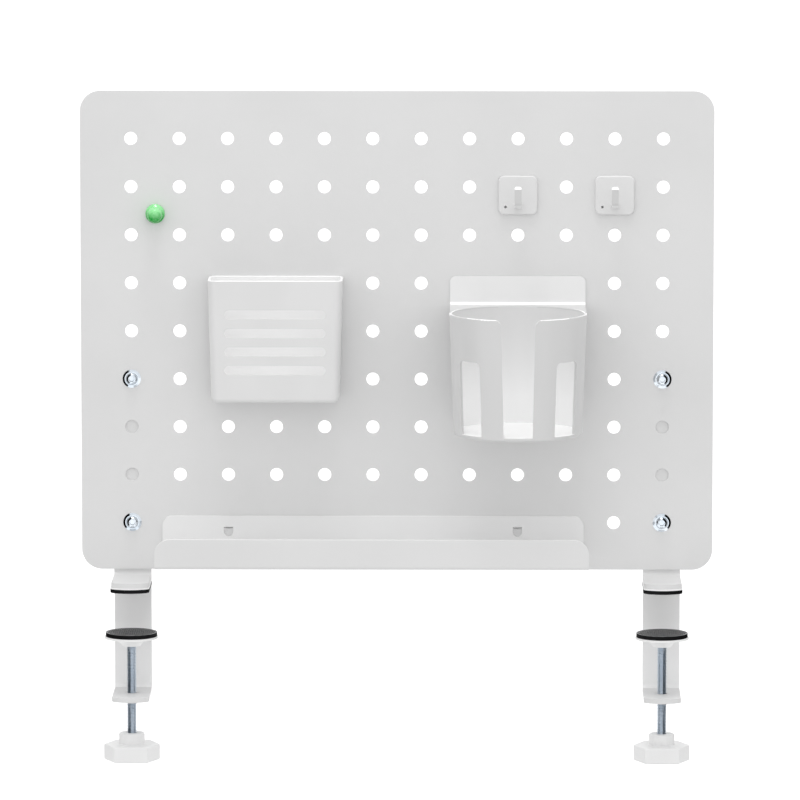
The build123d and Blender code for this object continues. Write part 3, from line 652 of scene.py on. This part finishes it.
# %% [markdown]
# ## Bent steel, rubber and small parts
# The clamp strips, the liner, the washers and the nuts have the right shape in the CAD model, but
# real edges are never knife sharp: steel is deburred and coated. Each of these is copied from its
# CAD node, its loose triangles are merged to whole faces, and its edges are rolled over by a
# bevel. The rolled edge is what catches the light along the strips.


# %% A helper that rolls the edges of a CAD piece
def deburred(node, name, slot, finish, width, steps=2, angle=32):
    source = frame["nodes"][node]
    only(source)
    bpy.ops.object.duplicate()
    piece = bpy.context.object
    piece.name = name
    bpy.ops.object.parent_clear(type="CLEAR_KEEP_TRANSFORM")
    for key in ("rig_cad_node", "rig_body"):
        del piece[key]
    open_piece(piece)
    bpy.ops.mesh.select_all(action="SELECT")
    bpy.ops.mesh.remove_doubles(threshold=0.000002)
    bpy.ops.mesh.customdata_custom_splitnormals_clear()
    bpy.ops.mesh.dissolve_limited(angle_limit=radians(0.2))
    close_piece()
    roll_edges(piece, width, steps, angle)
    stand_for(piece, node, finish)
    return piece


# %% [markdown]
# The upright of each arm is seen past the pads, where less light falls, and its coat is a little
# whiter than the jaws' as painted light that makes up for that shade. The washers are pressed, so their
# front slopes towards the edge, and that slope is what shows the black card as a crescent. The walls of
# the bolts' sockets get a darker zinc: painted shade in the recess.

# %% Clamp steel
SIDES = ("left", "right")
WASHER_EDGE = 7.6 * MM
WASHER_FLAT = 5.95 * MM
WASHER_CAD_EDGE = 8.1 * MM
SOCKET_REACH = 2.45 * MM
SOCKET_DEPTH = 3 * MM
ARM_FRONT = -8 * MM


def bolt_axes(low, high):
    """The two bolts of a clamp stand one above the other: the middles of both ends of their box."""
    half = (high.x - low.x) / 2
    middle = (low.x + high.x) / 2
    return [Vector((middle, 0, z)) for z in (low.z + half, high.z - half)]


def in_socket(middle, normal, low, axes):
    """The walls of a bolt's socket, without its floor."""
    reach = min((middle - axis).xz.length for axis in axes)
    return reach < SOCKET_REACH and 0.3 * MM < middle.y - low.y < SOCKET_DEPTH and normal.y > -0.7


def dish(piece, low, high):
    """Slopes the washers' front towards their edge, as a pressed washer's is."""
    for axis in bolt_axes(low, high):
        for front, reach in ((True, WASHER_FLAT), (False, WASHER_EDGE)):
            open_piece(piece)
            choose(
                "VERT",
                lambda co: 7.2 * MM < (co - axis).xz.length < 9 * MM
                and (co.y < (low.y + high.y) / 2) == front,
            )
            share = reach / WASHER_CAD_EDGE
            bpy.ops.transform.resize(value=(share, 1, share), center_override=axis)
            close_piece()
    shade(piece, 25)


for side in SIDES:
    for part, width in (("jaw_bracket", 0.6), ("clamp_arm", 0.6), ("weld_nut", 0.25)):
        node = f"{side}_{part}"
        steel = deburred(node, f"{node}_steel", "clamp_steel", jaw_coat, width * MM)
        if part == "clamp_arm":
            # The upright behind the arm's front gets the whiter coat, painted light for the shade it
            # stands in.
            second_finish(steel, arm_coat_painted_light, lambda middle, normal: middle.y > ARM_FRONT)
    liner = (f"{side}_jaw_liner", f"{side}_liner_sheet", "liner_plastic", liner_plastic)
    deburred(*liner, 0.2 * MM)
    deburred(f"{side}_jaw_rubber", f"{side}_rubber_sheet", "black_rubber", rubber, 0.25 * MM)
    for part in ("washers", "flange_nuts"):
        low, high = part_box(f"{side}_{part}")
        plated = deburred(f"{side}_{part}", f"{side}_{part}_plated", "zinc", zinc, 0.15 * MM)
        if part == "washers":
            dish(plated, low, high)
    bolts = deburred(f"{side}_board_bolts", f"{side}_bolts_plated", "zinc", zinc, 0.12 * MM)
    low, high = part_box(f"{side}_board_bolts")
    axes = bolt_axes(low, high)
    # The socket walls get the dark copy of the zinc: painted shade in the recess.
    second_finish(bolts, socket_painted_shade, lambda middle, normal: in_socket(middle, normal, low, axes))

# %% [markdown]
# ## The clamp screws
# Each clamp is tightened by a coarse-threaded rod. The real thread is rolled, so its crest and its
# root are slightly flat. A profile of one thread is swept up the axis by the Screw modifier, and
# both ends are then cut flat with bisect, as a lathe would part the rod.

# %% One threaded rod
THREAD_PITCH = 1.25 * MM
THREAD_CREST = 4.0 * MM
THREAD_ROOT = 3.25 * MM
low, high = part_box("left_clamp_screw")
SCREW_X = (low.x + high.x) / 2
SCREW_Y = (low.y + high.y) / 2
ROD_FOOT = low.z
ROD_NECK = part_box("left_pad_cup")[0].z - 0.3 * MM
PIN_RADIUS_AT_NECK = 3.0 * MM
HEAD_RADIUS = 4.8 * MM
HEAD_THICKNESS = 1.6 * MM
turns = int((ROD_NECK - ROD_FOOT) / THREAD_PITCH) + 3
clear_selection()
bpy.ops.mesh.primitive_plane_add(size=THREAD_PITCH, location=(0, 0, 0), rotation=(radians(90), 0, 0))
rod = bpy.context.object
rod.name = "left_threaded_rod"
settle(rod)
open_piece(rod)
choose("EDGE", lambda middle: middle.x < -0.1 * MM or abs(middle.z) > 0.1 * MM)
bpy.ops.mesh.delete(type="EDGE")
bpy.ops.mesh.select_all(action="SELECT")
bpy.ops.mesh.subdivide(number_cuts=7)
profile = bmesh.from_edit_mesh(rod.data)
for vertex in profile.verts:
    share = abs(vertex.co.z) / (THREAD_PITCH / 2)
    flank = min(max((share - 0.2) / 0.6, 0.0), 1.0)
    vertex.co.x = THREAD_CREST + (THREAD_ROOT - THREAD_CREST) * flank
bmesh.update_edit_mesh(rod.data)
bpy.ops.object.mode_set(mode="OBJECT")
sweep = rod.modifiers.new("sweep", "SCREW")
sweep.axis = "Z"
sweep.angle = 2 * pi
sweep.screw_offset = THREAD_PITCH
sweep.iterations = turns
sweep.steps = 20
sweep.render_steps = 20
sweep.use_merge_vertices = True
sweep.merge_threshold = 0.000005
bpy.ops.object.modifier_apply(modifier=sweep.name)
rod.location = (SCREW_X, SCREW_Y, ROD_FOOT - THREAD_PITCH)
settle(rod)
print("thread turns", turns, "faces", len(rod.data.polygons))

# %% Part both ends and turn the neck and the riveted head
open_piece(rod)
bpy.ops.mesh.select_all(action="SELECT")
bpy.ops.mesh.remove_doubles(threshold=0.000005)
for cut, keep_above in ((ROD_FOOT, True), (ROD_NECK, False)):
    bpy.ops.mesh.select_all(action="SELECT")
    bpy.ops.mesh.bisect(
        plane_co=(SCREW_X, SCREW_Y, cut),
        plane_no=(0, 0, 1),
        use_fill=True,
        clear_inner=keep_above,
        clear_outer=not keep_above,
    )
axis_point = Vector((SCREW_X, SCREW_Y, 0))
choose("FACE", lambda middle, normal: middle.z > ROD_NECK - 0.01 * MM and abs(normal.z) > 0.99)
for radius, rise in (
    (PIN_RADIUS_AT_NECK, 0.0),
    (PIN_RADIUS_AT_NECK, 2.6 * MM),
    (HEAD_RADIUS, 0.0),
    (HEAD_RADIUS, HEAD_THICKNESS),
):
    bpy.ops.mesh.extrude_region_move(TRANSFORM_OT_translate={"value": (0, 0, rise)})
    ring = [v for v in bmesh.from_edit_mesh(rod.data).verts if v.select]
    reach = max((v.co - axis_point).xy.length for v in ring)
    share = radius / reach
    bpy.ops.transform.resize(value=(share, share, 1), center_override=(SCREW_X, SCREW_Y, 0))
close_piece()
bpy.ops.object.shade_smooth_by_angle(angle=radians(35))
print("rod", [round(v * 1000, 2) for v in rod.dimensions])


# %% The rod on the other side
def twin(piece, name, shift):
    """A copy with its own mesh, set over by a shift."""
    only(piece)
    bpy.ops.object.duplicate()
    copy = bpy.context.object
    copy.name = name
    copy.location = shift
    settle(copy)
    return copy


ACROSS = (2 * abs(SCREW_X), 0, 0)
rods = {"left": rod, "right": twin(rod, "right_threaded_rod", ACROSS)}
for side in SIDES:
    stand_for(rods[side], f"{side}_clamp_screw", zinc)
    # The thread's downward flanks get the darker zinc: painted shade under each turn.
    second_finish(rods[side], thread_underside_painted_shade, lambda middle, normal: normal.z < -0.3 and middle.z < ROD_NECK)

# %% [markdown]
# ## The pads
# A rubber disc sits on each dished cup and presses the desk from below. Its face has a fine grid
# of small raised squares, like the sole of a shoe. In a grid primitive the squares outside the
# rim are deleted, the rest are inset one by one and raised, and the sheet is joined to a disc whose
# own top is sunk inside a plain rim. A bump in the material would vanish at the disc's outline.

# %% Rubber disc with its grid
low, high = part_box("left_pad_rubber")
PAD_RADIUS = (high.x - low.x) / 2
GRID_HEIGHT = 0.35 * MM
SQUARES = 24
clear_selection()
middle = (SCREW_X, SCREW_Y, high.z - GRID_HEIGHT)
bpy.ops.mesh.primitive_grid_add(
    x_subdivisions=SQUARES, y_subdivisions=SQUARES, size=2 * PAD_RADIUS, location=middle
)
face_grid = bpy.context.object
face_grid.name = "pad_grid"
settle(face_grid)
open_piece(face_grid)
RIM_WIDTH = 1.6 * MM


def inside_rim(middle, normal):
    return (middle - Vector((SCREW_X, SCREW_Y, middle.z))).length < PAD_RADIUS - RIM_WIDTH - 0.6 * MM


choose("FACE", lambda middle, normal: not inside_rim(middle, normal))
bpy.ops.mesh.delete(type="FACE")
bpy.ops.mesh.select_all(action="SELECT")
bpy.ops.mesh.inset(thickness=0.28 * MM, use_individual=True)
bpy.ops.mesh.extrude_region_move(TRANSFORM_OT_translate={"value": (0, 0, GRID_HEIGHT)})
bpy.ops.object.mode_set(mode="OBJECT")
print("pad squares", len(face_grid.data.polygons))

# %% The disc under the grid
clear_selection()
bpy.ops.mesh.primitive_cylinder_add(
    vertices=72,
    radius=PAD_RADIUS,
    depth=high.z - low.z,
    location=(SCREW_X, SCREW_Y, (low.z + high.z) / 2),
)
disc = bpy.context.object
disc.name = "left_pad_disc"
settle(disc)
open_piece(disc)
choose("FACE", lambda middle, normal: normal.z > 0.9)
bpy.ops.mesh.inset(thickness=RIM_WIDTH)
bpy.ops.mesh.extrude_region_move(TRANSFORM_OT_translate={"value": (0, 0, -GRID_HEIGHT)})
close_piece()
roll_edges(disc, 0.35 * MM, 3, 60)
only(disc)
face_grid.select_set(True)
bpy.ops.object.join()
pads = {"left": disc, "right": twin(disc, "right_pad_disc", ACROSS)}
for side in SIDES:
    stand_for(pads[side], f"{side}_pad_rubber", rubber)
    pads[side].data.materials.append(pad_rubber)
    for face in pads[side].data.polygons:
        face.material_index = 1 if face.normal.z > 0.5 else 0
    deburred(f"{side}_pad_cup", f"{side}_pad_dish", "liner_plastic", liner_plastic, 0.25 * MM)

# %% [markdown]
# ## The knobs
# Each knob is a flat six-sided plastic block with a round collar, moulded in one. The CAD piece
# has its outline, so a copy of it only needs the generous round that a mould gives to its edges.
# They are seen close to the eye at a desk, so these rounds are wider and finer than the others.

# %% Knobs
for side in SIDES:
    deburred(f"{side}_knob", f"{side}_hand_knob", "white_plastic", knob_plastic, 0.8 * MM, 4, 40)

# %% [markdown]
# ## What hangs on the board
# The pen box, the cup holder and the hooks are moulded, and the tray is bent from sheet. A mould's
# core is polished and its outer half is etched, so the inside of the box and of the cup is glossier
# than the outside; its whiter tone is painted light. A second material goes on the faces that look
# inwards, and a third on the rim. Splitting the piece in two would leave a seam where there is none.


# %% Pen box
BOX_DEPTH_MIDDLE = 20 * MM
BOX_BACK = 5.4 * MM
BOX_FLOOR = 12 * MM
low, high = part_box("pen_box")
box = deburred("pen_box", "pen_box_shell", "white_plastic", white_plastic, 0.3 * MM)
BOX_MIDDLE = Vector(((low.x + high.x) / 2, low.y + BOX_DEPTH_MIDDLE, 0))


def inside_box(middle, normal):
    if middle.y > high.y - BOX_BACK or middle.z > high.z - 0.8 * MM:
        return False
    if normal.z > 0.9:
        return middle.z < low.z + BOX_FLOOR
    return (middle - BOX_MIDDLE).xy.dot(normal.xy) < 0


# Inward faces get the whiter, glowing inside: painted light.
second_finish(box, box_inside_painted_light, inside_box)
BOX_RIM = high.z - 1.2 * MM
# The box's upward rim gets a painted highlight.
second_finish(box, rim_painted_highlight, lambda middle, normal: middle.z > BOX_RIM and normal.z > 0.3)

# %% [markdown]
# ### The cup holder
# A tapered cup with a floor hangs from a flat plate by a web. The etched outside with its painted
# shade, the polished inside with its painted light and the rim with its painted highlight are told
# apart by the distance from the cup's axis. The wall is first cut all round with bisect just under
# the rim, so that the bright rim is a band of even height.

# %% Cup holder
low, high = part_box("cup_holder")
# The outer wall wears the darker copy of the white plastic, as painted shade.
cup = deburred("cup_holder", "cup_holder_shell", "white_plastic", cup_wall_painted_shade, 0.35 * MM)
CUP_RIM_RADIUS = 56.5 * MM
CUP_FOOT_RADIUS = 52.7 * MM
CUP_WALL = 2.2 * MM
CUP_HEIGHT = 100 * MM
CUP_AXIS = Vector(((low.x + high.x) / 2, low.y + CUP_RIM_RADIUS, 0))


def inside_cup(middle, normal):
    share = (middle.z - low.z) / CUP_HEIGHT
    reach = CUP_FOOT_RADIUS + (CUP_RIM_RADIUS - CUP_FOOT_RADIUS) * share - CUP_WALL + 0.4 * MM
    arm = (middle - CUP_AXIS).xy
    if arm.length > reach or share > 0.985:
        return False
    return normal.z > 0.9 or arm.dot(normal.xy) < 0


CUP_RIM = low.z + CUP_HEIGHT
RIM_BAND = 1.5 * MM
OVER_RIM = 0.2 * MM
open_piece(cup)
choose("FACE", lambda middle, normal: middle.y < CUP_AXIS.y + 50 * MM)
bpy.ops.mesh.bisect(plane_co=(0, 0, CUP_RIM - RIM_BAND), plane_no=(0, 0, 1))
close_piece()
shade(cup, 40)
# Inward faces get the whiter, glowing inside: painted light.
second_finish(cup, cup_inside_painted_light, inside_cup)


# %% Rim, web and back plate of the cup holder
def on_cup_rim(middle, normal):
    arm = (middle - CUP_AXIS).xy.length
    inner = CUP_RIM_RADIUS - (CUP_WALL + 0.4 * MM if normal.z > 0.3 else 1.2 * MM)
    if middle.y < CUP_AXIS.y - 40 * MM and CUP_RIM - 12 * MM < middle.z < CUP_RIM:
        if abs((middle - CUP_AXIS).xy.normalized().dot(normal.xy)) < 0.9:
            return True
    on_band = -RIM_BAND < middle.z - CUP_RIM < OVER_RIM
    return on_band and inner < arm < CUP_RIM_RADIUS + 0.3 * MM


def on_web(middle, normal):
    return OVER_RIM < middle.z - CUP_RIM < 3 * MM and normal.z > 0.2


def on_plate(middle, normal):
    return middle.z - CUP_RIM > OVER_RIM and normal.z <= 0.2


# The rim and the web get a painted highlight; the plate gets the knobs' plastic.
second_finish(cup, rim_painted_highlight, on_cup_rim)
second_finish(cup, rim_painted_highlight, on_web)
second_finish(cup, knob_plastic, on_plate)

# %% [markdown]
# ### The tray
# One sheet is cut and bent up in front and at the back, and two tabs are lanced from its back. Its
# bends are wide, and its upward edges wear a whiter coat as a painted highlight. The back edge is
# drawn up by a millimetre, so that no sliver of the holes behind it shows over it.

# %% Tray
BACK_LIFT = 1.0 * MM
low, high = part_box("tray")
tray = deburred("tray", "tray_sheet", "powder_coated_steel", tray_coat_painted_light, 0.68 * MM, 3)
LIP_BACK = low.y + 2 * MM
# Only the front of the lip keeps the board's coat; the rest of the sheet wears the whiter copy, painted
# light.
second_finish(tray, board_coat, lambda middle, normal: middle.y < LIP_BACK and normal.y < -0.7)
open_piece(tray)
choose("VERT", lambda co: co.y > high.y - 7 * MM and abs(co.z - high.z) < 1.6 * MM)
bpy.ops.transform.translate(value=(0, 0, BACK_LIFT))
close_piece()
shade(tray, 40)
HIGHLIGHT_ABOVE = low.z + 12 * MM
# Faces high on the sheet that look up get the whiter coat: a painted highlight along the top edges.
second_finish(tray, tray_edge_painted_highlight, lambda middle, normal: middle.z > HIGHLIGHT_ABOVE and normal.z > 0.25)

# %% [markdown]
# ### The hooks
# The tip of each hook's finger is cut to a slant in front, so that a hanging loop slides over it,
# and the slant shows as a small bright cap, whiter still in the liners' plastic as a painted highlight.
# Bisect cuts the corner off and closes the cut. The cap's height and depth are in millimetres, because
# bisect needs a normal that isn't tiny.

# %% Hooks
FINGER_TOP = 334.2 * MM
CAP_HEIGHT = 2.2
CAP_DEPTH = 1.6
for side in SIDES:
    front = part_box(f"{side}_hook")[0].y
    node = f"{side}_hook"
    hook = deburred(node, f"{node}_plate", "white_plastic", white_plastic, 0.25 * MM)
    open_piece(hook)
    choose("FACE", lambda middle, normal: middle.y < front + 8 * MM)
    bpy.ops.mesh.bisect(
        plane_co=(0, front, FINGER_TOP - CAP_HEIGHT * MM),
        plane_no=(0, -CAP_HEIGHT, CAP_DEPTH),
        use_fill=True,
        clear_outer=True,
    )
    close_piece()
    shade(hook, 30)
    finger_back = front + 3 * MM
    # The faces of the slant that look up get the whiter plastic: a painted highlight on the cap.
    second_finish(hook, liner_plastic, lambda middle, normal: middle.y < finger_back and normal.z > 0.5)
    # The finger's front face gets the darker copy: painted shade.
    second_finish(hook, finger_front_painted_shade, lambda middle, normal: middle.y < finger_back and normal.y < -0.9)

# %% [markdown]
# ### The pin
# A turned knob of acrylic with a magnet glued in its foot. The turned shape is already right, and
# the magnet only needs its plating.

# %% Pin
deburred("pin_body", "pin_shell", "green_acrylic", green_acrylic, 0.2 * MM)
frame["nodes"]["pin_magnet"].data.materials.clear()
frame["nodes"]["pin_magnet"].data.materials.append(zinc)
